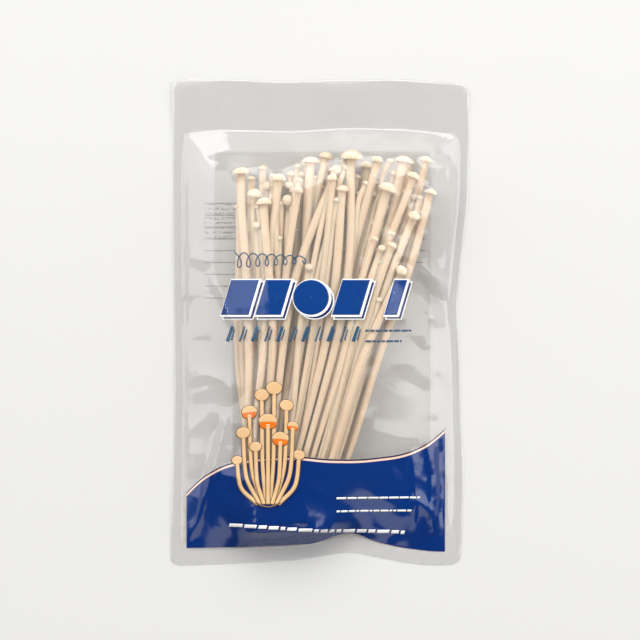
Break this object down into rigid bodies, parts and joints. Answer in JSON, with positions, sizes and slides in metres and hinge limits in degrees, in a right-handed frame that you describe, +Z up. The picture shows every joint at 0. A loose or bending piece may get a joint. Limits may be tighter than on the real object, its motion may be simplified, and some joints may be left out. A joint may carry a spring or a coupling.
{
  "type": "enoki mushroom bunch in a clear bag",
  "caption": "Bunch of thin long-stemmed pale mushrooms grown together at one foot, lying in a flat heat-sealed clear film bag.",
  "frame": {"origin": "centre of the bag's outline on the surface that the pack lies on", "axes": "+Z up out of the front film, +Y along the stems from the foot to the caps, +X to the right seen from the front"},
  "size_m": [0.1316, 0.2137, 0.022],
  "materials": {
    "film": "thin clear glossy film, printed with a blue band at the lower end, milky along its edges",
    "mushroom": "cream flesh, satin and faintly translucent, tan towards the foot",
    "foot": "tan fused flesh, matte, with brown growing medium on its cut end"
  },
  "bodies": {
    "root": {"back_film": "film", "front_film": "film", "clump_base": "foot", "mushroom_01": "mushroom", "mushroom_02": "mushroom", "mushroom_03": "mushroom", "mushroom_04": "mushroom", "mushroom_05": "mushroom", "mushroom_06": "mushroom", "mushroom_07": "mushroom", "mushroom_08": "mushroom", "mushroom_09": "mushroom", "mushroom_10": "mushroom", "mushroom_11": "mushroom", "mushroom_12": "mushroom", "mushroom_13": "mushroom", "mushroom_14": "mushroom", "mushroom_15": "mushroom", "mushroom_16": "mushroom", "mushroom_17": "mushroom", "mushroom_18": "mushroom", "mushroom_19": "mushroom", "mushroom_20": "mushroom", "mushroom_21": "mushroom", "mushroom_22": "mushroom", "mushroom_23": "mushroom", "mushroom_24": "mushroom", "mushroom_25": "mushroom", "mushroom_26": "mushroom", "mushroom_27": "mushroom", "mushroom_28": "mushroom", "mushroom_29": "mushroom", "mushroom_30": "mushroom", "mushroom_31": "mushroom", "mushroom_32": "mushroom", "mushroom_33": "mushroom", "mushroom_34": "mushroom", "mushroom_35": "mushroom", "mushroom_36": "mushroom", "mushroom_37": "mushroom", "mushroom_38": "mushroom", "mushroom_39": "mushroom", "mushroom_40": "mushroom", "mushroom_41": "mushroom", "mushroom_42": "mushroom", "mushroom_43": "mushroom", "mushroom_44": "mushroom", "mushroom_45": "mushroom", "mushroom_46": "mushroom", "mushroom_47": "mushroom", "mushroom_48": "mushroom", "mushroom_49": "mushroom", "mushroom_50": "mushroom", "mushroom_51": "mushroom", "mushroom_52": "mushroom", "mushroom_53": "mushroom", "mushroom_54": "mushroom", "mushroom_55": "mushroom", "mushroom_56": "mushroom", "mushroom_57": "mushroom"}
  },
  "joints": []
}
